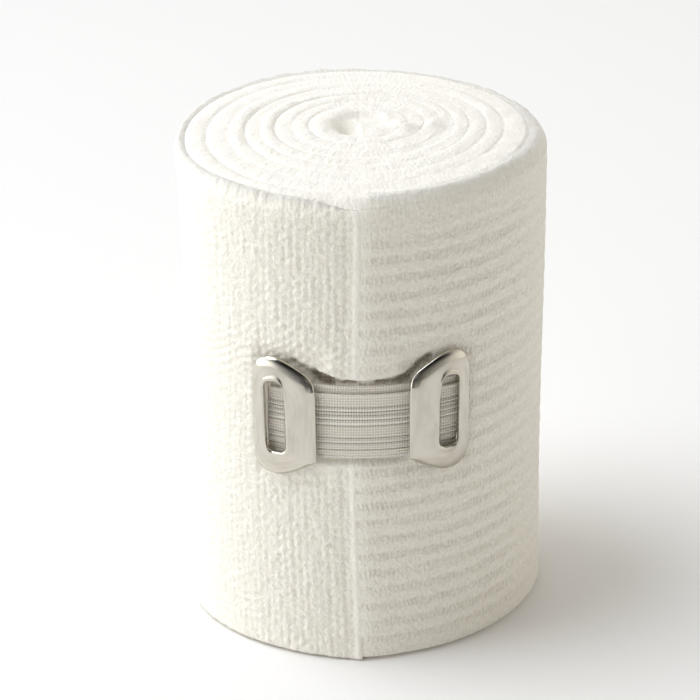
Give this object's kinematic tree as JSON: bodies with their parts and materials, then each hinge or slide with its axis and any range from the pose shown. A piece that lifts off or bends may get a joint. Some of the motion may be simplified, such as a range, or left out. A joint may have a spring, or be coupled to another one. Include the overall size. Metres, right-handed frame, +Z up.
{
  "type": "rolled elastic bandage with clip",
  "caption": "Rolled elastic crepe bandage standing on its end, its loose end held down by a clip of two pressed metal plates joined by an elastic strip.",
  "frame": {"origin": "on the roll's axis at the surface that it stands on", "axes": "+Z up along the roll's axis, -Y towards the loose end and the clip, +X to the right as seen from the clip"},
  "size_m": [0.0566, 0.0579, 0.0766],
  "materials": {
    "bandage_cotton": "matt, crinkled elastic crepe weave in natural white cotton",
    "clip_elastic": "matt ribbed elastic webbing in off-white",
    "clip_metal": "polished, warm nickel-plated sheet"
  },
  "bodies": {
    "root": {"bandage_roll": "bandage_cotton", "clip_elastic": "clip_elastic", "clip_plate_left": "clip_metal", "clip_plate_right": "clip_metal"}
  },
  "joints": []
}
